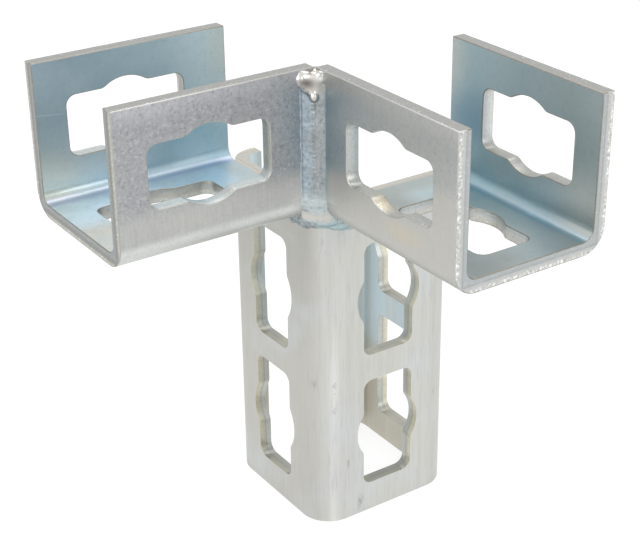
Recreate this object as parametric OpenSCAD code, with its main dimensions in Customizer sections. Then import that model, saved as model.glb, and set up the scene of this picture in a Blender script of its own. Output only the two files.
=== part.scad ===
// Three-way strut fitting: two saddle arms at right angles on a slotted channel post.
// The left arm runs along +X and the right arm along +Y. The origin is the middle of the post's lower end.

/* [Channel] */
// Outer width of the arms and of the post
channel_w = 50; // [46:0.5:70]
// Thickness of the sheet
sheet_t = 4; // [2.5:0.25:5]

/* [Arms] */
// Length of each arm, from the post's face to the open end
arm_l = 60; // [54:1:120]
// Height of the arm walls, from the underside of the floor
wall_h = 44; // [36:0.5:70]
// Radius on the inside of an arm's bends
arm_bend_r = 3.2; // [2:0.1:6]
// Distance from the post's face to the middle of an arm's slots
arm_slot_x = 32.5; // [22:0.5:34]
// Height of the middle of the wall slots above the underside of the floor
wall_slot_z = 24.2; // [22:0.1:32]

/* [Post] */
// Height of the arm floors' underside above the post's lower end
post_h = 103.5; // [98:0.5:200]
// Height of the post's top edge above the arm floors' underside
post_rise = 3; // [1:0.25:4]
// Radius on the inside of the post's bends
post_bend_r = 5.5; // [3:0.25:6]
// Width of each lip beside the open back, from the post's outer face
lip_w = 11; // [10.2:0.1:18]
// Drop from the arm floors' underside to the top of the side away from the left arm
side_drop = 22; // [14:0.5:40]
// Height of the middle of the lower slots
post_slot_z = 28; // [20:0.5:30]
// Distance between the lower and the upper slots
post_slot_pitch = 45; // [38:0.5:50]

/* [Slots] */
// Length of a slot
slot_l = 36.4; // [28:0.2:40]
// Width of a slot's straight part
slot_w = 17.7; // [14:0.1:20]
// Diameter of the round eye at the middle of a slot
slot_eye_d = 22.3; // [21:0.1:26]
// Radius at the corners of a slot
slot_corner_r = 3; // [1:0.25:5]
// Radius that blends the eye into the straight part
slot_blend_r = 3; // [1:0.25:4]

/* [Weld] */
// Leg of the fillet weld in the arms' inner corner
corner_leg = 5; // [3:0.25:7]
// How far the corner weld stops below the top of the walls
corner_weld_gap = 0.8; // [0:0.1:3]
// Gap that the weld fills at the inner end of each arm
root_gap = 0.3; // [0.1:0.1:0.8]
// Depth of the weld root between the ends of the two walls
weld_root = 2.6; // [1:0.1:3.5]
// Radius of the bead round the post's top
bead_r = 3.2; // [2:0.1:4]
// How far the middle of that bead lies below the arm floors' underside
bead_drop = 2; // [0.6:0.1:2.4]
// How far that bead runs past the post's bend on each side
bead_run = 6; // [2:0.5:12]
// Radius of the weld pool where the three pieces meet
pool_r = 6; // [5:0.25:8]
// How far the middle of the pool lies outside the post's corner
pool_out = 0.8; // [0.4:0.1:2]
// Height of the middle of the pool above the arm floors' underside
pool_rise = 1.3; // [0.8:0.1:3]

/* [Hidden] */
$fn = 96;
cut = 1;
half_w = channel_w / 2;
arm_outer_r = arm_bend_r + sheet_t;
post_outer_r = post_bend_r + sheet_t;
bend_c = half_w - post_outer_r;
post_top = post_h + post_rise;
lap = 0.005;
blend_y = slot_w / 2 + slot_blend_r - lap;
blend_x = sqrt(pow(slot_eye_d / 2 + slot_blend_r - lap, 2) - pow(blend_y, 2));

// Rectangle of size l by w about the origin, with round corners
module round_rect(l, w, r) {
  square([l - 2 * r, w], center = true);
  square([l, w - 2 * r], center = true);
  for (sx = [-1, 1], sy = [-1, 1])
    translate([sx * (l / 2 - r), sy * (w / 2 - r)]) circle(r);
}

// Slot with a round eye at its middle, along X
module slot_outline() {
  round_rect(slot_l, slot_w, slot_corner_r);
  circle(d = slot_eye_d);
  for (mx = [0, 1], my = [0, 1])
    mirror([mx, 0]) mirror([0, my])
      difference() {
        polygon([[0, 0], [blend_x, slot_w / 4], [blend_x, blend_y]]);
        translate([blend_x, blend_y]) circle(slot_blend_r);
      }
}

module slot_cutter(depth) {
  linear_extrude(depth, center = true) slot_outline();
}

// U of the arms seen from the end: floor on Y = 0, open at the top
module saddle_section() {
  difference() {
    saddle_outline(channel_w, wall_h, arm_outer_r);
    translate([0, sheet_t]) saddle_outline(channel_w - 2 * sheet_t, wall_h, arm_bend_r);
  }
}

module saddle_outline(w, h, r) {
  translate([-w / 2, r]) square([w, h - r]);
  translate([-w / 2 + r, 0]) square([w - 2 * r, h]);
  for (side = [-1, 1])
    translate([side * (w / 2 - r), r]) circle(r);
}

// One arm along +X, with the post's face on X = 0
module saddle_arm() {
  difference() {
    translate([root_gap, 0, 0])
      rotate([90, 0, 90]) linear_extrude(arm_l - root_gap) saddle_section();
    translate([arm_slot_x, 0, wall_slot_z]) rotate([90, 0, 0]) slot_cutter(channel_w + 2 * cut);
    translate([arm_slot_x, 0, sheet_t / 2]) slot_cutter(sheet_t + 2 * cut);
  }
}

module left_arm() {
  color([0.72, 0.74, 0.75])
    translate([half_w, 0, post_h]) saddle_arm();
}

module right_arm() {
  color([0.70, 0.73, 0.75])
    rotate([0, 0, 90]) translate([half_w, 0, post_h]) saddle_arm();
}

// Lipped channel, open at the back (-Y)
module post_section() {
  difference() {
    round_rect(channel_w, channel_w, post_outer_r);
    round_rect(channel_w - 2 * sheet_t, channel_w - 2 * sheet_t, post_bend_r);
    translate([-half_w + lip_w, -half_w - cut])
      square([channel_w - 2 * lip_w, sheet_t + 2 * cut]);
  }
}

// The side away from the left arm stops short below the arms
module side_cutter() {
  translate([-half_w - cut, -half_w - cut, post_h - side_drop])
    cube([half_w + cut, channel_w - sheet_t + cut, side_drop + post_rise + cut]);
}

module post() {
  color([0.78, 0.79, 0.79])
    difference() {
      linear_extrude(post_top) post_section();
      side_cutter();
      for (i = [0, 1])
        translate([0, 0, post_slot_z + i * post_slot_pitch]) {
          rotate([0, 90, 0]) slot_cutter(channel_w + 2 * cut);
          translate([0, half_w - sheet_t / 2, 0])
            rotate([90, 0, 0]) rotate([0, 0, 90]) slot_cutter(sheet_t + 2 * cut);
        }
    }
}

// Fillet up the inner corner, with its root between the ends of the walls
module corner_fillet() {
  translate([half_w, half_w, post_h + arm_outer_r / 2])
    linear_extrude(wall_h - arm_outer_r / 2 - corner_weld_gap) {
      polygon([[-weld_root, 0], [0, -weld_root], [corner_leg, 0], [0, corner_leg]]);
      translate([corner_leg * 0.3, corner_leg * 0.3]) circle(corner_leg * 0.36);
    }
}

// Bead round the post's near corner, under the two floors
module post_bead() {
  translate([bend_c, bend_c, post_h - bead_drop]) {
    rotate_extrude(angle = 90) translate([post_outer_r, 0]) circle(bead_r);
    translate([post_outer_r, 0, 0]) rotate([90, 0, 0]) cylinder(r = bead_r, h = bead_run);
    translate([0, post_outer_r, 0]) rotate([0, -90, 0]) cylinder(r = bead_r, h = bead_run);
    translate([post_outer_r, -bead_run, 0]) rotate([0, 90, 0]) sphere(bead_r);
    translate([-bead_run, post_outer_r, 0]) rotate([90, 0, 0]) sphere(bead_r);
  }
}

// Pool that closes the gap between the three bends, flat towards the hub
module weld_pool() {
  post_corner = bend_c * sqrt(2) + post_outer_r;
  rotate([0, 0, 45])
    difference() {
      translate([post_corner + pool_out, 0, post_h + pool_rise]) sphere(pool_r);
      translate([post_corner - sheet_t / 4 - 2 * pool_r, -pool_r - cut, post_h - pool_r])
        cube([2 * pool_r, 2 * (pool_r + cut), 3 * pool_r]);
    }
}

module weld_bead() {
  color([0.58, 0.62, 0.65])
    difference() {
      union() {
        corner_fillet();
        post_bead();
        weld_pool();
      }
      left_arm();
      right_arm();
      post();
    }
}

left_arm();
right_arm();
post();
weld_bead();
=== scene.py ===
"""A strut angle fitting: two saddle arms at right angles on a slotted post, welded and zinc plated."""

import math

import bmesh
import bpy
from mathutils import Matrix, Vector, noise


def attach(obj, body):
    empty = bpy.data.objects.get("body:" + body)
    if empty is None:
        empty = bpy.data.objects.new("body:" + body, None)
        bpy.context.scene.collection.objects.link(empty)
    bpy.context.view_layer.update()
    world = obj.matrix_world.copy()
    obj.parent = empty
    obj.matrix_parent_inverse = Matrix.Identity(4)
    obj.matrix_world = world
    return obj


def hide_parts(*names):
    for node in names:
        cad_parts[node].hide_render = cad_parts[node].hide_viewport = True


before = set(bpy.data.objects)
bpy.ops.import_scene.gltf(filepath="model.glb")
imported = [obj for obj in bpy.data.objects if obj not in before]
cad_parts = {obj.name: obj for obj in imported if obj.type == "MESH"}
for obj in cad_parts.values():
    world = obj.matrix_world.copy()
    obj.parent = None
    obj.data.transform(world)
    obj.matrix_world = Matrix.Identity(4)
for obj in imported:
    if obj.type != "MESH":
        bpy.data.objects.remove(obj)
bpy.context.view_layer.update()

# Saddle arms: each is a U pressed from 4 mm sheet, punched with one eyed slot in each wall and one in
# the floor. The zinc is speckled grey outside and blue inside; cut edges show torn grain and a bright strip.
MM = 0.001
HALF = 25 * MM
SHEET = 4 * MM
INNER_WALL = HALF - SHEET
ARM_BEND = 7.2 * MM
FLOOR_Z = 103.5 * MM
TOP_Z = 147.5 * MM
ARM_END = 85 * MM
SKIN_FROM, SKIN_TO = 0.2 * MM, 0.6 * MM
MERGE, SAME_PLANE, SHARP = 1e-6, math.radians(0.3), math.radians(40)
CUT_MARGIN, SQUARE_ON, FLAT = 0.5 * MM, 0.999, 0.9999
RIM, RIM_STEPS = 0.35 * MM, 3

# Cells to the metre in each grain of the zinc
SPECKLES, BLOTCHES, CLOUDS, MILL_LINES = 1300, 480, 70, 2400
TORN, SPARKS, GLINTS, STAINS, WORN = 1300, 1900, 1000, 150, 700


class Value:
    """A shader socket. Python's operators on it add Math nodes."""

    def __init__(self, tree, socket):
        self.tree, self.socket = tree, socket

    def math(self, operation, first, second=0.0, clamp=False):
        settings = {"operation": operation, "use_clamp": clamp}
        return self.tree.node("ShaderNodeMath", settings, {0: first, 1: second})

    def __add__(self, other):
        return self.math("ADD", self, other)

    def __sub__(self, other):
        return self.math("SUBTRACT", self, other)

    def __rsub__(self, other):
        return self.math("SUBTRACT", other, self)

    def __mul__(self, other):
        return self.math("MULTIPLY", self, other)

    def __abs__(self):
        return self.math("ABSOLUTE", self)

    __radd__ = __add__
    __rmul__ = __mul__

    def larger(self, other):
        """The larger of two values."""
        return self.math("MAXIMUM", self, other)

    def between(self, low, high):
        """0 below low and 1 above high, with a smooth step from one to the other."""
        settings = {"interpolation_type": "SMOOTHSTEP"}
        inputs = {"Value": self, "From Min": low, "From Max": high}
        return self.tree.node("ShaderNodeMapRange", settings, inputs)

    def near(self, centre, reach):
        """1 at the centre, fading to 0 at the reach on either side."""
        return 1 - abs(self - centre).between(0, reach)

    def within(self, wall):
        """1 up to a wall's inner skin and 0 past it, with the step just under that skin."""
        return 1 - self.between(wall + SKIN_FROM, wall + SKIN_TO)

    def other(self, out):
        """Another output of the same node."""
        return Value(self.tree, self.socket.node.outputs[out])


class Tree:
    """A node tree with one way to add a node."""

    def __init__(self, tree):
        self.tree = tree

    def node(self, kind, settings=None, inputs=None, out=0):
        made = self.tree.nodes.new(kind)
        for key, value in (settings or {}).items():
            setattr(made, key, value)
        for key, value in (inputs or {}).items():
            self.set(made.inputs[key], value)
        return Value(self, made.outputs[out])

    def set(self, socket, value):
        if isinstance(value, Value):
            self.tree.links.new(value.socket, socket)
        else:
            socket.default_value = value


class Finish(Tree):
    """A metal on Object coordinates, with a ground colour that is then covered coat by coat."""

    def __init__(self, name):
        self.material = bpy.data.materials.new(name)
        self.material.use_nodes = True
        super().__init__(self.material.node_tree)
        self.place = self.node("ShaderNodeTexCoord", out="Object")
        self.x = self.node("ShaderNodeSeparateXYZ", inputs={0: self.place})
        self.y, self.z = self.x.other("Y"), self.x.other("Z")
        self.color = None

    def grain(self, scale, stretch=(1, 1, 1), detail=2.0, roughness=0.5, shift=0.0):
        """Noise from 0 to 1, with scale cells to the metre, drawn out along an axis of small stretch."""
        moved = {"Vector": self.place, "Scale": stretch, "Location": [shift] * 3}
        place = self.node("ShaderNodeMapping", inputs=moved)
        inputs = {"Vector": place, "Scale": scale, "Detail": detail, "Roughness": roughness}
        return self.node("ShaderNodeTexNoise", inputs=inputs)

    def blend(self, factor, first, second):
        return self.node("ShaderNodeMix", {"data_type": "RGBA"}, {0: factor, 6: first, 7: second}, 2)

    def coat(self, factor, color):
        """Cover the present colour with another, as thickly as the factor says."""
        self.color = self.blend(factor, self.color, color)

    def bump(self, height, strength, distance):
        inputs = {"Height": height, "Strength": strength, "Distance": distance}
        return self.node("ShaderNodeBump", inputs=inputs)

    def done(self, roughness, normal):
        """The material, with its colour, roughness and bumps joined to the shader."""
        shader = self.tree.nodes["Principled BSDF"].inputs
        metal = {"Base Color": self.color, "Roughness": roughness, "Normal": normal, "Metallic": 1.0}
        for key, value in metal.items():
            self.set(shader[key], value)
        return self.material


def tone(red, green, blue):
    """A colour as it looks on screen, 0 to 255, in the shader's linear values."""
    return [((v / 255 + 0.055) / 1.055) ** 2.4 for v in (red, green, blue)] + [1.0]


def arm_sheet_finish(name, along, across, zinc):
    """Zinc on an arm: speckled grey walls over a milled, paler foot, and a blue pool inside."""
    finish = Finish(name)
    axis = {"X": finish.x, "Y": finish.y}
    run, side, high = axis[along], axis[across], finish.z - FLOOR_Z
    speckle = finish.grain(SPECKLES, detail=4.0, roughness=0.75)
    blotch = finish.grain(BLOTCHES, detail=3.0, roughness=0.6, shift=1.0)
    cloud = finish.grain(CLOUDS, detail=3.0)
    lines = finish.grain(MILL_LINES, (1, 1, 0.05), detail=3.0)
    outward = run.between(HALF, ARM_END)

    # The foot is paler partly as painted light, lighter towards the bottom; its mill lines and thinner
    # speckle are the sheet's own
    low = 1 - (high - (run - HALF) * zinc["rise"]).between(12 * MM, 18 * MM)
    speckled = (1 - 0.7 * low) * zinc["speckle"]
    # Painted light and shade: a highlight along the top edge, shade on the wall by the weld, and light on
    # the foot and the upper corner by the weld
    top_light = high.between(38 * MM, 43.4 * MM)
    weld_shade = (1 - run.between(27 * MM, zinc["shade"])) * (1 - low) * (1 - high.between(37 * MM, 43 * MM))
    foot_light = (1 - run.between(27 * MM, 38 * MM)) * low
    corner_light = (1 - run.between(26 * MM, 36 * MM)) * high.between(34 * MM, 41 * MM)
    gold_smear = high.near(10 * MM, 4 * MM) * run.near(64 * MM, 12 * MM)
    finish.color = zinc["wall"]
    finish.coat(low, zinc["foot"])
    finish.coat(top_light * 0.55, zinc["top"])
    finish.coat(weld_shade * 0.75, zinc["weld_side_shade"])
    finish.coat(foot_light * 0.75, tone(224, 224, 221))
    finish.coat(corner_light * 0.6, zinc["top"])
    # Painted highlight: a pale band low on the outer wall, where the sheet turns into the floor
    finish.coat(1 - high.between(5.0 * MM, 7.5 * MM), zinc["bend"])
    finish.coat(gold_smear * zinc["gold"], tone(206, 196, 168))
    finish.coat(cloud.between(0.4, 0.75) * 0.3, zinc["foot"])
    finish.coat(blotch.between(0.5, 0.7) * speckled * 0.5, tone(138, 142, 152))
    finish.coat(speckle.between(0.52, 0.68) * speckled, tone(112, 118, 126))
    finish.coat((1 - speckle.between(0.34, 0.46)) * speckled, tone(206, 207, 214))
    finish.coat(lines.between(0.52, 0.66) * zinc["lines"] * low, tone(152, 152, 152))
    finish.coat((1 - lines.between(0.34, 0.46)) * zinc["lines"] * low, tone(212, 210, 205))
    outside = finish.color

    # Inside: blue and straw zinc whose tones are partly painted reflection, lighter or darker from hub to
    # end and across the floor
    across_bend = abs(side) - (HALF - ARM_BEND) + high - SHEET
    near_side = side.between(-4 * MM, 6 * MM)
    deep_pool = run.near(36 * MM, 20 * MM) * high.near(zinc["deep_high"], 14 * MM)
    hub_straw = (1 - run.between(25 * MM, 35 * MM)) * high.between(22 * MM, 36 * MM)
    end_straw = run.between(66 * MM, 82 * MM) * (1 - high.between(10 * MM, 26 * MM))
    lower = finish.blend(outward, zinc["lower_hub"], zinc["lower_end"])
    pool = finish.blend(outward, zinc["floor_hub"], zinc["floor_end"])
    pool = finish.blend(near_side, pool, zinc["floor_near"])
    pool = finish.blend((1 - run.between(29 * MM, 35 * MM)) * 0.75, pool, zinc["floor_root"])
    scratch = (high - 0.115 * run).near(19.5 * MM, 0.3 * MM) * run.between(75 * MM, 78 * MM)
    scratch = scratch * (1 - side.between(-20 * MM, -18 * MM))
    finish.color = finish.blend(outward, zinc["inner_hub"], zinc["inner_end"])
    finish.coat((1 - run.between(25 * MM, 33 * MM)) * 0.35, zinc["inner_edge"])
    finish.coat(run.between(73 * MM, 84 * MM) * 0.4, zinc["inner_edge"])
    finish.coat(1 - high.between(9 * MM, 24 * MM), lower)
    finish.coat(deep_pool * 0.7, zinc["deep"])
    finish.coat(hub_straw * 0.45, zinc["straw"])
    finish.coat(end_straw * 0.5, zinc["straw"])
    finish.coat(1 - across_bend.between(0.0, 3.0 * MM), pool)
    finish.coat(across_bend.near(0.2 * MM, 2.4 * MM) * (1 - near_side) * 0.6, zinc["pool_edge"])
    # Painted highlight: a narrow pale band where the inner wall turns into the floor
    finish.coat(across_bend.near(2.4 * MM, 1.0 * MM) * (0.5 + 0.4 * outward), zinc["inner_bend"])
    finish.coat(cloud.between(0.42, 0.72) * 0.4, zinc["inner_cloud"])
    finish.coat(blotch.between(0.48, 0.7) * 0.12, tone(128, 150, 160))
    finish.coat(speckle.between(0.5, 0.7) * 0.15, tone(116, 134, 144))
    finish.coat(scratch * zinc["scratch"], tone(205, 218, 222))

    inside = abs(side).within(INNER_WALL) * high.between(SHEET - SKIN_TO, SHEET - SKIN_FROM)
    finish.color = finish.blend(inside, outside, finish.color)
    rough = 0.36 + 0.10 * cloud + 0.08 * speckle - 0.06 * inside
    return finish.done(rough, finish.bump(speckle * 0.6 + lines * low * 0.6, 0.25, 0.06 * MM))


def arm_cut_finish(name, along, across, zinc):
    """Sheared ends and punched slots: a burnished strip at the outer skin, torn grain below it."""
    finish = Finish(name)
    axis = {"X": finish.x, "Y": finish.y}
    run, side, high = axis[along], axis[across], finish.z - FLOOR_Z
    torn = finish.grain(TORN, detail=3.0, roughness=0.7)
    spark = finish.grain(SPARKS, detail=1.0, shift=3.0)
    glint = finish.grain(GLINTS, detail=1.0, shift=5.0)
    stain = finish.grain(STAINS, detail=2.0, shift=7.0)

    skin = (abs(side) - INNER_WALL).larger(SHEET - high)
    strip = skin.between(2.3 * MM, 3.1 * MM)
    top = (high - (TOP_Z - FLOOR_Z)).near(0, 0.4 * MM)
    end = (run - ARM_END).near(0, 0.4 * MM)
    end_strip = end * strip * zinc["glint"]
    lower = high.between(SHEET, 6 * MM) * (1 - high.between(15 * MM, 20 * MM)) * (1 - end)
    gold_spot = run.near(53 * MM, 6 * MM) * side.between(0, 5 * MM) * lower
    finish.color = zinc["cut"]
    finish.coat(end, zinc["end"])
    finish.coat(strip * 0.45, tone(222, 221, 212))
    finish.coat(skin.near(1.5 * MM, 0.5 * MM) * end * 0.4, tone(126, 128, 126))
    finish.coat((1 - skin.between(1.0 * MM, 2.0 * MM)) * 0.5, tone(164, 174, 177))
    finish.coat(stain.between(0.48, 0.65) * (1 - end) * 0.2, tone(204, 198, 182))
    # Painted light and shade on the slots' lower faces, lighter on the left arm and darker on the right
    finish.coat(lower * 0.8, zinc["lower_cut_light_shade"])
    finish.coat(gold_spot * zinc["gold"], tone(190, 172, 134))
    finish.coat(high.near(0, SHEET) * (1 - end) * 0.6, zinc["floor_cut"])
    finish.coat(top, tone(156, 156, 153))
    finish.coat(torn.between(0.45, 0.75) * (0.4 - 0.2 * end), tone(140, 141, 140))
    # Painted glints: white flecks over the cut faces, thickest along the end strips, with dark specks among
    # them
    finish.coat(spark.between(0.62, 0.70) * (0.25 + 0.4 * strip), tone(232, 232, 230))
    finish.coat((1 - glint.between(0.36, 0.43)) * end_strip * 0.4, tone(130, 130, 128))
    finish.coat(glint.between(0.54, 0.63) * end_strip, tone(246, 246, 244))
    return finish.done(0.36 + 0.12 * torn, finish.bump(torn, 0.3, 0.10 * MM))


def rim_finish(name, across, pale, dark):
    """Rounded rims between skin and cut: a thin painted highlight outside, and a dark brown line on the
    inner skin.
    """
    finish = Finish(name)
    worn = finish.grain(WORN, detail=2.0)
    side = {"X": abs(finish.x), "Y": abs(finish.y), "XY": abs(finish.x).larger(abs(finish.y))}
    inner = 1 - side[across].between(22 * MM, 23 * MM)
    finish.color = finish.blend(inner, pale, dark)
    finish.coat(worn.between(0.5, 0.75) * 0.6, tone(160, 159, 154))
    return finish.done(0.4, finish.bump(worn, 0.2, 0.05 * MM))


def sheet_copy(node, name, depth, end_axis, finishes):
    """A merged copy of a CAD sheet piece with sheet, cut and rim finishes, which stands for the node."""
    shell = bmesh.new()
    shell.from_mesh(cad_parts[node].data)
    bmesh.ops.remove_doubles(shell, verts=shell.verts, dist=MERGE)
    bmesh.ops.dissolve_limit(shell, angle_limit=SAME_PLANE, verts=shell.verts, edges=shell.edges)
    for face in shell.faces:
        in_sheet = CUT_MARGIN < depth(face.calc_center_median()) < SHEET - CUT_MARGIN
        face.material_index = 1 if in_sheet or abs(face.normal[end_axis]) > SQUARE_ON else 0
    sharp = [e for e in shell.edges if len(e.link_faces) == 2 and e.calc_face_angle() > SHARP]
    rims = bmesh.ops.bevel(shell, geom=sharp, offset=RIM, offset_type="OFFSET", segments=RIM_STEPS,
                           profile=0.5, affect="EDGES", material=-1, clamp_overlap=True)
    for face in rims["faces"]:
        face.material_index = 2
    for face in shell.faces:
        face.smooth = max(abs(v) for v in face.normal) < FLAT
    mesh = bpy.data.meshes.new(name)
    shell.to_mesh(mesh)
    shell.free()
    for finish in finishes:
        mesh.materials.append(finish)
    piece = bpy.data.objects.new(name, mesh)
    bpy.context.scene.collection.objects.link(piece)
    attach(piece, "root")
    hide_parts(node)


def saddle_depth(side, high):
    """How deep a point lies below the outer skin of an arm's U."""
    side, high = abs(side), high - FLOOR_Z
    centre = HALF - ARM_BEND
    if side > centre and high < ARM_BEND:
        return ARM_BEND - math.hypot(side - centre, ARM_BEND - high)
    return HALF - side if high >= ARM_BEND else high


# The arms catch different light, so each has tones, places and strengths of its own
# Among these tones the top tone and the outer and inner bends' tones are painted highlights, the weld-side
# tone painted shade, and the lower cut tone painted light on the left arm and painted shade on the right
LEFT_ZINC = {
    "wall": tone(166, 167, 169), "foot": tone(184, 185, 183), "bend": tone(216, 219, 215),
    "top": tone(198, 198, 203), "weld_side_shade": tone(160, 176, 186),
    "inner_hub": tone(190, 208, 214), "inner_end": tone(143, 163, 174), "inner_edge": tone(182, 198, 204),
    "inner_bend": tone(212, 216, 234), "inner_cloud": tone(182, 198, 202),
    "lower_hub": tone(170, 195, 208), "lower_end": tone(178, 196, 204),
    "deep": tone(138, 182, 202), "straw": tone(212, 208, 188), "pool_edge": tone(178, 182, 218),
    "floor_hub": tone(186, 202, 212), "floor_end": tone(222, 236, 244),
    "floor_near": tone(212, 208, 198), "floor_root": tone(172, 184, 184),
    "cut": tone(164, 165, 158), "lower_cut_light_shade": tone(192, 199, 200), "floor_cut": tone(182, 187, 184),
    "end": tone(146, 146, 142),
    "rise": 0.0, "shade": 42 * MM, "deep_high": 16 * MM,
    "speckle": 0.55, "lines": 0.14, "gold": 0.1, "glint": 0.25, "scratch": 0.45}
RIGHT_ZINC = {
    "wall": tone(180, 182, 180), "foot": tone(193, 192, 187), "bend": tone(195, 195, 190),
    "top": tone(204, 202, 196), "weld_side_shade": tone(158, 178, 186),
    "inner_hub": tone(164, 184, 189), "inner_end": tone(180, 189, 188), "inner_edge": tone(196, 205, 205),
    "inner_bend": tone(172, 190, 202), "inner_cloud": tone(178, 187, 187),
    "lower_hub": tone(154, 186, 195), "lower_end": tone(162, 178, 186),
    "deep": tone(122, 154, 174), "straw": tone(206, 202, 186), "pool_edge": tone(132, 172, 196),
    "floor_hub": tone(174, 190, 192), "floor_end": tone(168, 180, 182),
    "floor_near": tone(154, 159, 157), "floor_root": tone(160, 166, 163),
    "cut": tone(202, 207, 206), "lower_cut_light_shade": tone(150, 150, 145), "floor_cut": tone(186, 182, 172),
    "end": tone(196, 198, 197),
    "rise": 0.22, "shade": 54 * MM, "deep_high": 22 * MM,
    "speckle": 0.25, "lines": 0.08, "gold": 0.45, "glint": 1.0, "scratch": 0.0}
# Outer rims carry a painted highlight, pale on the right arm and grey on the left; inner rims a dark brown
# line
RIM_HIGHLIGHT, RIM_GREY_HIGHLIGHT, RIM_BROWN = tone(190, 189, 186), tone(176, 175, 171), tone(142, 137, 128)
sheet_copy("left_arm", "left_arm_plated", lambda p: saddle_depth(p.y, p.z), 0,
           [arm_sheet_finish("left_arm_zinc", "X", "Y", LEFT_ZINC),
            arm_cut_finish("left_cut_zinc", "X", "Y", LEFT_ZINC),
            rim_finish("left_rim_zinc", "Y", RIM_GREY_HIGHLIGHT, RIM_BROWN)])
sheet_copy("right_arm", "right_arm_plated", lambda p: saddle_depth(p.x, p.z), 1,
           [arm_sheet_finish("right_arm_zinc", "Y", "X", RIGHT_ZINC),
            arm_cut_finish("right_cut_zinc", "Y", "X", RIGHT_ZINC),
            rim_finish("right_rim_zinc", "X", RIM_HIGHLIGHT, RIM_BROWN)])

# Post: a channel of the same sheet with two slots one above the other in three sides, open and lipped at
# the back. Its zinc is smoother than the arms' and lighter, partly as painted light, with faint streaks
# along the rolling.
POST_BEND = 9.5 * MM
SLOT_FEET = (9.8 * MM, 54.8 * MM)
SMUDGES = ((-1.5 * MM, 93 * MM), (3.5 * MM, 47 * MM), (-15 * MM, 4 * MM))
STREAKS, FINE_STREAKS, BROAD_CLOUDS, MARKS = 420, 1800, 45, 180


def post_sheet_finish(name):
    """Smooth zinc with painted light along the near corner, painted shade on the left face, blue inside, and
    a few dark marks.
    """
    finish = Finish(name)
    inside = abs(finish.x).within(INNER_WALL) * abs(finish.y).within(INNER_WALL)
    streak = finish.grain(STREAKS, (1, 1, 0.025), detail=3.0)
    fine = finish.grain(FINE_STREAKS, (1, 1, 0.06), detail=2.0)
    cloud = finish.grain(BROAD_CLOUDS, detail=3.0)
    mark = finish.grain(MARKS, (1, 1, 0.5), detail=4.0, roughness=0.7, shift=2.0)

    round_corner = finish.x - finish.y
    # Painted light and shade: the left face darker than the right, darker again at its top under the arms,
    # and highlights along the near corner, strongest low down
    left_face_shade = round_corner.between(-6 * MM, 8 * MM)
    upper_left_shade = round_corner.between(-2 * MM, 6 * MM) * finish.z.between(50 * MM, 90 * MM)
    low_light = round_corner.near(-4.8 * MM, 3.6 * MM) * (1 - finish.z.between(48 * MM, 76 * MM))
    finish.color = finish.blend(left_face_shade, tone(206, 206, 201), tone(194, 193, 187))
    finish.coat(upper_left_shade * 0.6, tone(176, 176, 170))
    finish.coat(round_corner.near(-1 * MM, 4 * MM) * 0.3, tone(215, 215, 211))
    finish.coat(low_light * 0.6, tone(234, 233, 231))
    finish.coat(streak.between(0.45, 0.7) * 0.3, tone(186, 185, 182))
    finish.coat(cloud.between(0.48, 0.68) * 0.38, tone(206, 213, 216))
    finish.coat(fine.between(0.5, 0.7) * 0.25, tone(174, 173, 171))
    finish.coat(mark.between(0.66, 0.74) * 0.4, tone(140, 138, 140))
    for corner_run, height in SMUDGES:
        smudge = round_corner.near(corner_run, 1.8 * MM) * finish.z.near(height, 4 * MM)
        finish.coat(smudge * mark.between(0.4, 0.56) * 0.7, tone(136, 134, 138))
    outside = finish.color

    upper = finish.z.between(26 * MM, 40 * MM)
    finish.color = finish.blend(upper, tone(194, 191, 178), tone(202, 217, 222))
    finish.coat(streak.between(0.5, 0.62) * 0.35, tone(206, 202, 190))
    finish.color = finish.blend(inside, outside, finish.color)
    rough = 0.38 + 0.10 * cloud + 0.06 * fine
    return finish.done(rough, finish.bump(fine * 0.5 + streak * 0.3, 0.15, 0.05 * MM))


def post_cut_finish(name):
    """Punched slots and sawn ends: straw at the outer skin, a dark line in mid sheet, dull slot feet,
    painted shade at the top.
    """
    finish = Finish(name)
    torn = finish.grain(TORN, detail=3.0, roughness=0.7)
    stain = finish.grain(STAINS, detail=2.0, shift=7.0)
    skin = abs(finish.x).larger(abs(finish.y)) - INNER_WALL
    finish.color = tone(204, 204, 196)
    finish.coat(skin.between(2.4 * MM, 3.2 * MM) * 0.7, tone(226, 220, 194))
    finish.coat((1 - skin.between(1.0 * MM, 2.0 * MM)) * 0.5, tone(192, 201, 202))
    for foot in SLOT_FEET:
        finish.coat(finish.z.near(foot, 2.5 * MM) * 0.8, tone(146, 146, 140))
    finish.coat(skin.near(1.9 * MM, 0.35 * MM) * 0.45, tone(132, 131, 122))
    finish.coat(stain.between(0.45, 0.65) * 0.25, tone(198, 190, 168))
    # Painted shade at the post's top, under the arm floors
    finish.coat(finish.z.between(97 * MM, 103 * MM) * 0.5, tone(172, 165, 156))
    finish.coat(torn.between(0.45, 0.75) * 0.3, tone(146, 146, 142))
    return finish.done(0.38 + 0.12 * torn, finish.bump(torn, 0.3, 0.10 * MM))


def channel_depth(point):
    """How deep a point lies below the outer skin of the post's square section."""
    side, back = abs(point.x), abs(point.y)
    centre = HALF - POST_BEND
    if side > centre and back > centre:
        return POST_BEND - math.hypot(side - centre, back - centre)
    return HALF - max(side, back)


sheet_copy("post", "post_plated", channel_depth, 2,
           [post_sheet_finish("post_zinc"), post_cut_finish("post_cut_zinc"),
            rim_finish("post_rim_zinc", "XY", tone(214, 209, 190), tone(176, 174, 166))])

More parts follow.
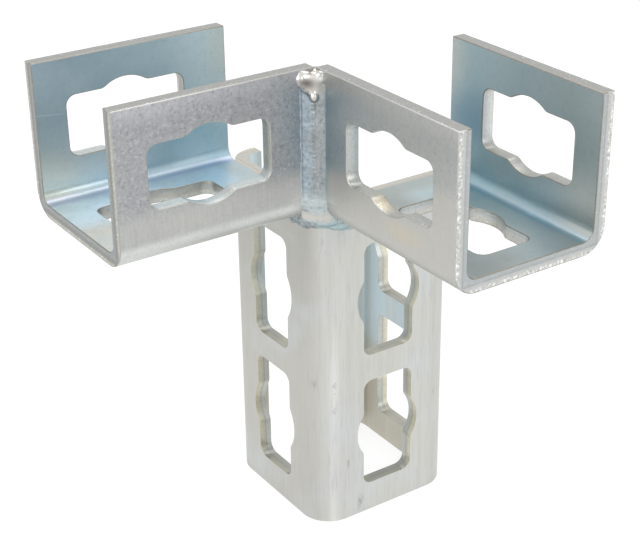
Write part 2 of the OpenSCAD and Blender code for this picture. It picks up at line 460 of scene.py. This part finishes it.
# Weld: one run laid down the inner corner of the arms, which ends in a smooth cap with a hanging drip at
# the top, spreads where the three bends meet and stops in a lip round the post's near corner.
CORNER = Vector((HALF, HALF, 0))
OUT = Vector((1, 1, 0)).normalized()
CHORD = Vector((1, -1, 0)).normalized()
RUN_LOW, RUN_STEP, RUN_COUNT = 6.0, 0.9, 38
RIDGE_LOW, RIDGE_STEP, RIDGE_COUNT = 10.0, 1.12, 24
ROOT_STEP, ROOT_COUNT = 2.7, 14
FOOT_COUNT = 7

# Lumps of the cap in millimetres: place out, along the chord and up, then radii along the chord, out and up
CAP_LUMPS = (
    ((-0.7, 0.0, 42.0), (2.6, 2.6, 1.6)),
    ((2.4, 0.7, 41.2), (4.4, 1.8, 2.3)),
    ((2.4, -2.0, 42.4), (1.5, 1.4, 1.4)),
    ((2.4, 3.4, 42.4), (1.5, 1.4, 1.4)),
    ((3.1, 3.4, 41.0), (1.7, 1.5, 2.0)),
    ((2.7, 0.6, 39.4), (2.9, 1.6, 2.2)),
    ((3.2, 0.1, 38.0), (1.6, 1.3, 1.7)),
    ((3.8, -0.5, 36.9), (1.3, 1.2, 1.35)))


def blob(bead, centre, chord, out, high):
    """An ellipsoid of weld metal, with its radii along the chord of the corner, out of it and upwards."""
    turn = Matrix((CHORD, OUT, Vector((0, 0, 1)))).transposed().to_4x4()
    size = Matrix.Diagonal((chord * MM, out * MM, high * MM, 1))
    place = Matrix.Translation(centre) @ turn @ size
    bmesh.ops.create_icosphere(bead, subdivisions=3, radius=1.0, matrix=place)


def at(out, chord, high):
    """The point so many millimetres out of the corner, along its chord and above the arm floors."""
    return CORNER + OUT * (out * MM) + CHORD * (chord * MM) + Vector((0, 0, FLOOR_Z + high * MM))


# Run with its ridge of ripples, root between the wall ends, cap and foot
bead = bmesh.new()
for i in range(RUN_COUNT):
    wander = noise.noise(Vector((i * 0.6, 0.3, 0.0)))
    spot = at(2.2 + 0.08 * wander, 0.12 * wander, RUN_LOW + i * RUN_STEP)
    blob(bead, spot, 5.7, 1.7 + 0.1 * wander, 1.5)
for i in range(RIDGE_COUNT):
    ridge = noise.noise(Vector((i * 1.7, 4.1, 0.0)))
    lump = noise.noise(Vector((i * 2.3, 9.2, 0.0)))
    spot = at(3.35 + 0.15 * lump, -0.45 + 0.5 * ridge, RIDGE_LOW + i * RIDGE_STEP + 0.5 * lump)
    blob(bead, spot, 0.75 + 0.2 * lump, 0.85, 0.6 + 0.15 * ridge)
for i in range(ROOT_COUNT):
    blob(bead, at(-0.9, 0, RUN_LOW + i * ROOT_STEP), 2.3, 2.4, 2.0)
for spot, radii in CAP_LUMPS:
    blob(bead, at(*spot), *radii)
for i in range(FOOT_COUNT):
    share = i / (FOOT_COUNT - 1)
    spot = at(2.0 - 2.9 * share, -0.9 * share, 7.0 - 7.5 * share)
    blob(bead, spot, 5.4 - 0.4 * share, 1.9 + 0.9 * share, 2.2)

# Lip round the post's near corner, rough on the left and hanging lower on the right
LIP_R = POST_BEND + 0.1 * MM
LIP_LEFT, LIP_RIGHT = 6.5, 9.6
LIP_ARC = LIP_R / MM * math.pi / 4
LIP_STEPS = 64
LIP_TOP, LIP_DROP = 1.5, 3.3
BEND_CENTRE = Vector((HALF - POST_BEND, HALF - POST_BEND, FLOOR_Z))
for i in range(LIP_STEPS + 1):
    share = i / LIP_STEPS
    along = share * (LIP_LEFT + 2 * LIP_ARC + LIP_RIGHT) - LIP_LEFT - LIP_ARC
    bent = max(-LIP_ARC, min(LIP_ARC, along))
    turn = math.pi / 4 + bent * MM / LIP_R
    spot = BEND_CENTRE + Vector((math.cos(turn), math.sin(turn), 0)) * LIP_R
    spot += Vector((-math.sin(turn), math.cos(turn), 0)) * ((along - bent) * MM)
    rough_side = 0.55 if along < -1.5 else 0.12
    wobble = rough_side * noise.noise(Vector((along * 0.7, 7.7, 0.0)))
    size = (1.4 + wobble) * (1 - 0.5 * abs(2 * share - 1) ** 4)
    tuck = 1.1 * max(0.0, 1 - abs(along - 0.5) / 4)
    sag = 1.7 * min(1.0, max(0.0, (along - 4) / 9))
    rim_drop = LIP_DROP + wobble - tuck + sag
    for drop in (LIP_TOP - wobble, (LIP_TOP + rim_drop) / 2, rim_drop):
        blob(bead, spot - Vector((0, 0, drop * MM)), size, size, size * 1.2)
rough_mesh = bpy.data.meshes.new("weld_rough")
bead.to_mesh(rough_mesh)
bead.free()

# One skin over all the lumps, smoothed and then roughened, hardly at all on the cap
VOXEL, SMOOTH_PASSES = 0.25 * MM, 3
CALM_FROM, CALM_OVER, CALM_LEAST = FLOOR_Z + 37 * MM, 3 * MM, 0.05
ROUGH_HEIGHT, ROUGH_SCALE = 0.09 * MM, 700
weld = bpy.data.objects.new("corner_weld", rough_mesh)
bpy.context.scene.collection.objects.link(weld)
remesh = weld.modifiers.new("fuse", "REMESH")
remesh.mode = "VOXEL"
remesh.voxel_size = VOXEL
fused = bmesh.new()
fused.from_object(weld, bpy.context.evaluated_depsgraph_get())
weld.modifiers.clear()
for _ in range(SMOOTH_PASSES):
    bmesh.ops.smooth_vert(fused, verts=fused.verts, factor=0.5,
                          use_axis_x=True, use_axis_y=True, use_axis_z=True)
for vert in fused.verts:
    calm = min(1.0, max(CALM_LEAST, (CALM_FROM - vert.co.z) / CALM_OVER))
    vert.co += vert.normal * (ROUGH_HEIGHT * calm * noise.fractal(vert.co * ROUGH_SCALE, 1.0, 2.0, 3))
for face in fused.faces:
    face.smooth = True
fused.to_mesh(weld.data)
fused.free()

SCALES, PATCHES = 900, 260
LIP_LINES = (-1.1 * MM, -2.6 * MM, -4.3 * MM)


def weld_finish(name):
    """Weld under zinc: blue and grey scale, painted shade at the toes, a pale foot, a ringed lip, a bright
    cap with painted highlights.
    """
    finish = Finish(name)
    scale = finish.grain(SCALES, detail=4.0, roughness=0.75)
    patch = finish.grain(PATCHES, detail=3.0, shift=5.0)
    high = finish.z - FLOOR_Z
    chord = (finish.x - finish.y) * math.sqrt(0.5)
    out = (finish.x + finish.y) * math.sqrt(0.5) - HALF * math.sqrt(2)
    left = chord.between(-0.8 * MM, 0.6 * MM)

    ridge = chord.near(-0.45 * MM, 0.8 * MM) * patch.between(0.4, 0.6)
    left_toe = chord.between(3.2 * MM, 3.6 * MM)
    # Painted shade in the creases along both toes
    left_toe_shade = chord.near(3.0 * MM, 0.35 * MM)
    right_toe_shade = 1 - chord.between(-3.5 * MM, -2.9 * MM)
    finish.color = finish.blend(left, tone(166, 171, 172), tone(166, 178, 186))
    finish.coat(patch.between(0.45, 0.65) * 0.5, tone(148, 154, 157))
    finish.coat(ridge * 0.6, tone(140, 132, 126))
    finish.coat(scale.between(0.5, 0.66) * 0.55, tone(114, 124, 131))
    finish.coat((1 - scale.between(0.34, 0.46)) * 0.45, tone(192, 206, 214))
    finish.coat(left_toe * 0.6, tone(206, 218, 224))
    finish.coat(left_toe_shade * 0.55, tone(104, 120, 128))
    finish.coat(right_toe_shade * 0.85, tone(126, 152, 162))

    foot = 1 - high.between(6 * MM, 11 * MM)
    fold = high.near(1.6 * MM, 2.2 * MM) * chord.between(-5.5 * MM, -3.5 * MM)
    # A painted shadow line under the foot's fold
    fold_shadow = high.near(3.6 * MM, 0.5 * MM) * chord.between(1.2 * MM, 2.2 * MM)
    lip = 1 - high.between(-1.0 * MM, 0.6 * MM)
    finish.coat(foot * 0.8, tone(202, 210, 210))
    finish.coat(foot * scale.between(0.46, 0.62) * 0.55, tone(158, 172, 176))
    finish.coat(fold * (0.35 + 0.8 * patch), tone(212, 208, 199))
    finish.coat(fold_shadow * 0.6, tone(130, 128, 122))
    finish.coat(lip * 0.8, finish.blend(left, tone(178, 198, 201), tone(168, 176, 178)))
    finish.coat(lip * left * scale.between(0.42, 0.6) * 0.65, tone(112, 122, 128))
    for line in LIP_LINES:
        ring = high.near(line, 0.45 * MM) * (1 - left) * patch.between(0.3, 0.6)
        finish.coat(ring * 0.6, tone(112, 134, 140))

    aside = chord + 0.4 * MM
    above_drip = high - aside * aside * (0.115 / MM)
    below = high - 37 * MM
    drip = 1 - (aside * aside + below * below).between((0.9 * MM) ** 2, (1.3 * MM) ** 2)
    cap = above_drip.between(37.3 * MM, 38.1 * MM).larger(drip)
    # Painted shade under the cap's lower edge and under the drip
    cap_border_shade = above_drip.near(37.1 * MM, 0.5 * MM) * left * (1 - drip)
    drip_border_shade = below.near(-1.35 * MM, 0.5 * MM) * aside.near(0, 1.0 * MM)
    right_lobe = (1 - chord.between(-2.4 * MM, -0.8 * MM)) * (1 - high.between(40.2 * MM, 41.4 * MM))
    drip_glint = below.near(0.2 * MM, 0.6 * MM) * aside.near(0.2 * MM, 0.6 * MM)
    dark_mirror = high.near(40.6 * MM, 2.7 * MM) * chord.near(1.4 * MM, 4.0 * MM)
    crater = high.between(42.6 * MM, 43.4 * MM) * chord.near(0.7 * MM, 1.0 * MM)
    root = (1 - out.between(0.4 * MM, 1.2 * MM)) * high.between(30 * MM, 36 * MM)
    finish.coat(cap_border_shade * 0.7, tone(92, 104, 110))
    finish.coat(drip_border_shade * 0.7, tone(92, 100, 104))
    # The cap's pale tone, its white spot and the drip's glint are painted highlights, and the dark patch a
    # painted reflection
    finish.coat(cap * (0.4 + 0.5 * chord.between(-2.2 * MM, -0.6 * MM)), tone(212, 208, 202))
    finish.coat(cap * right_lobe * 0.85, tone(160, 160, 156))
    finish.coat(high.near(42.0 * MM, 1.0 * MM) * cap * 0.8, tone(240, 238, 234))
    finish.coat(drip_glint * 0.8, tone(244, 242, 238))
    finish.coat(dark_mirror * 0.9, tone(104, 96, 92))
    finish.coat(crater, tone(110, 98, 86))
    finish.coat(root * 0.9, tone(160, 153, 144))
    rough = 0.44 + 0.14 * scale - 0.20 * cap
    return finish.done(rough, finish.bump(scale * (1 - cap), 0.35, 0.10 * MM))


weld.data.materials.append(weld_finish("weld_zinc"))
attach(weld, "root")
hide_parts("weld_bead")

# Studio: a white sheet under the fitting, soft lamps on both sides and overhead, and a white surround.
# The camera stands above the open corner of the arms, where the photograph was taken.
CAMERA_AT = Vector((232.9, 335.9, 270.3)) * MM
AZIMUTH, ELEVATION, ROLL = math.radians(146.12), math.radians(26.02), math.radians(-0.71)
FILM_WIDTH = 36
FOCAL_IN_WIDTHS = 1486.1 / 640

back = Vector((math.sin(AZIMUTH) * math.cos(ELEVATION),
               -math.cos(AZIMUTH) * math.cos(ELEVATION),
               math.sin(ELEVATION)))
right = (-back).cross(Vector((0, 0, 1))).normalized()
upward = right.cross(-back)
axes = (right * math.cos(ROLL) + upward * math.sin(ROLL),
        upward * math.cos(ROLL) - right * math.sin(ROLL),
        back)
camera = bpy.data.objects.new("camera", bpy.data.cameras.new("camera"))
camera.data.sensor_width = FILM_WIDTH
camera.data.lens = FILM_WIDTH * FOCAL_IN_WIDTHS
camera.data.clip_start = 0.01
camera.matrix_world = Matrix.Translation(CAMERA_AT) @ Matrix(axes).transposed().to_4x4()
bpy.context.scene.collection.objects.link(camera)
bpy.context.scene.camera = camera

LAMP_AIM = Vector((0.02, 0.02, 0.1))


def soft_lamp(name, place, size, power):
    """A square lamp that faces the fitting."""
    lamp = bpy.data.objects.new(name, bpy.data.lights.new(name, "AREA"))
    lamp.data.size = size
    lamp.data.energy = power
    aim = LAMP_AIM - Vector(place)
    lamp.matrix_world = Matrix.Translation(place) @ aim.to_track_quat("-Z", "Y").to_matrix().to_4x4()
    bpy.context.scene.collection.objects.link(lamp)


soft_lamp("left_lamp", (1.0, 0.1, 0.7), 0.7, 6)
soft_lamp("right_lamp", (-0.2, 1.1, 0.6), 0.7, 4)
soft_lamp("top_lamp", (-0.3, -0.3, 1.3), 0.9, 6)

WHITE = (1, 1, 1, 1)
FILL_LIGHT, SHOWN_WHITE = 0.55, 1.0


def viewed(tree):
    """1 for rays that come from the camera or by a mirror or glass, 0 for the rest."""
    path = tree.node("ShaderNodeLightPath", out="Is Camera Ray")
    return path.math("ADD", path + path.other("Is Glossy Ray"), path.other("Is Transmission Ray"), True)


world = bpy.data.worlds.new("white_surround")
bpy.context.scene.world = world
world.use_nodes = True
surround = Tree(world.node_tree)
soft = surround.node("ShaderNodeBackground", inputs={"Color": WHITE, "Strength": FILL_LIGHT})
bright = surround.node("ShaderNodeBackground", inputs={"Color": WHITE, "Strength": SHOWN_WHITE})
both = surround.node("ShaderNodeMixShader", inputs={0: viewed(surround), 1: soft, 2: bright})
surround.set(world.node_tree.nodes["World Output"].inputs["Surface"], both)

PAPER_WHITE, SHADOW_TINT, PAPER_GLOW = (0.8, 0.8, 0.8, 1), (0.22, 0.22, 0.22, 1), 0.84
FLOOR_REACH = 4.0


def floor_finish(name):
    """White paper that shows white to the camera and still keeps the fitting's shadow."""
    material = bpy.data.materials.new(name)
    material.use_nodes = True
    tree = Tree(material.node_tree)
    paper = tree.node("ShaderNodeBsdfDiffuse", inputs={"Color": PAPER_WHITE})
    tint = tree.node("ShaderNodeBsdfDiffuse", inputs={"Color": SHADOW_TINT})
    glow = tree.node("ShaderNodeEmission", inputs={"Color": WHITE, "Strength": PAPER_GLOW})
    sheet = tree.node("ShaderNodeAddShader", inputs={0: tint, 1: glow})
    both = tree.node("ShaderNodeMixShader", inputs={0: viewed(tree), 1: paper, 2: sheet})
    tree.set(material.node_tree.nodes["Material Output"].inputs["Surface"], both)
    return material


ground = bmesh.new()
bmesh.ops.create_grid(ground, x_segments=1, y_segments=1, size=FLOOR_REACH)
floor_mesh = bpy.data.meshes.new("white_sheet")
ground.to_mesh(floor_mesh)
ground.free()
floor_mesh.materials.append(floor_finish("white_paper"))
floor = bpy.data.objects.new("white_sheet", floor_mesh)
bpy.context.scene.collection.objects.link(floor)

bpy.context.scene.view_settings.view_transform = "Standard"
